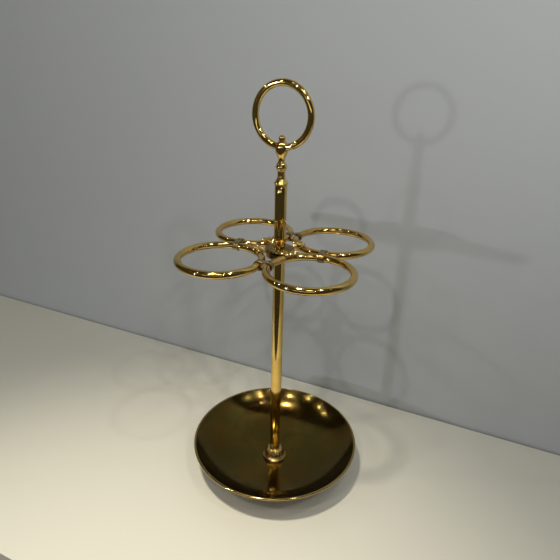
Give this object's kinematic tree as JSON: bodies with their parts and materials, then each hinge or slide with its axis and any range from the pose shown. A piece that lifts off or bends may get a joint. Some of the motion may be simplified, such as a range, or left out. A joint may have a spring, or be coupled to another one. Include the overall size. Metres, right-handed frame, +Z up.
{
  "type": "umbrella stand",
  "caption": "Brass umbrella stand: round dish base, gadrooned boss, slim pole, umbrella rings joined by scallop palmettes and clips, baluster finial with a ring handle.",
  "frame": {"origin": "centre of the stand's footprint, on the floor, below the pole's axis", "axes": "+Z up along the pole; +X towards one umbrella ring; +Y towards the next umbrella ring; the ring handle's plane is turned 52 degrees clockwise from +X, seen from above"},
  "size_m": [0.2858, 0.2858, 0.5818],
  "materials": {
    "polished_brass": "polished, lightly tarnished in the hollows",
    "aged_brass": "polished under an uneven olive-brown patina",
    "steel": "plain turned steel",
    "felt": "dense green wool felt"
  },
  "bodies": {
    "root": {"dish": "aged_brass", "foot_ring": "aged_brass", "foot_felt": "felt", "base_boss": "polished_brass", "base_washer": "polished_brass", "base_nut": "polished_brass", "tie_rod": "steel", "pole_tube": "polished_brass", "hub_body": "aged_brass", "hub_cap": "aged_brass", "hub_grub_screw": "steel", "hub_screw_1": "polished_brass", "hub_screw_2": "polished_brass", "hub_screw_3": "polished_brass", "hub_screw_4": "polished_brass", "palmette_1": "polished_brass", "palmette_2": "polished_brass", "palmette_3": "polished_brass", "palmette_4": "polished_brass", "umbrella_ring_1": "polished_brass", "umbrella_ring_2": "polished_brass", "umbrella_ring_3": "polished_brass", "umbrella_ring_4": "polished_brass", "ring_clip_1": "polished_brass", "ring_clip_2": "polished_brass", "ring_clip_3": "polished_brass", "ring_clip_4": "polished_brass", "ferrule": "polished_brass", "baluster": "polished_brass", "knuckle": "polished_brass", "knob_screw": "polished_brass", "handle_ring": "polished_brass"}
  },
  "joints": []
}
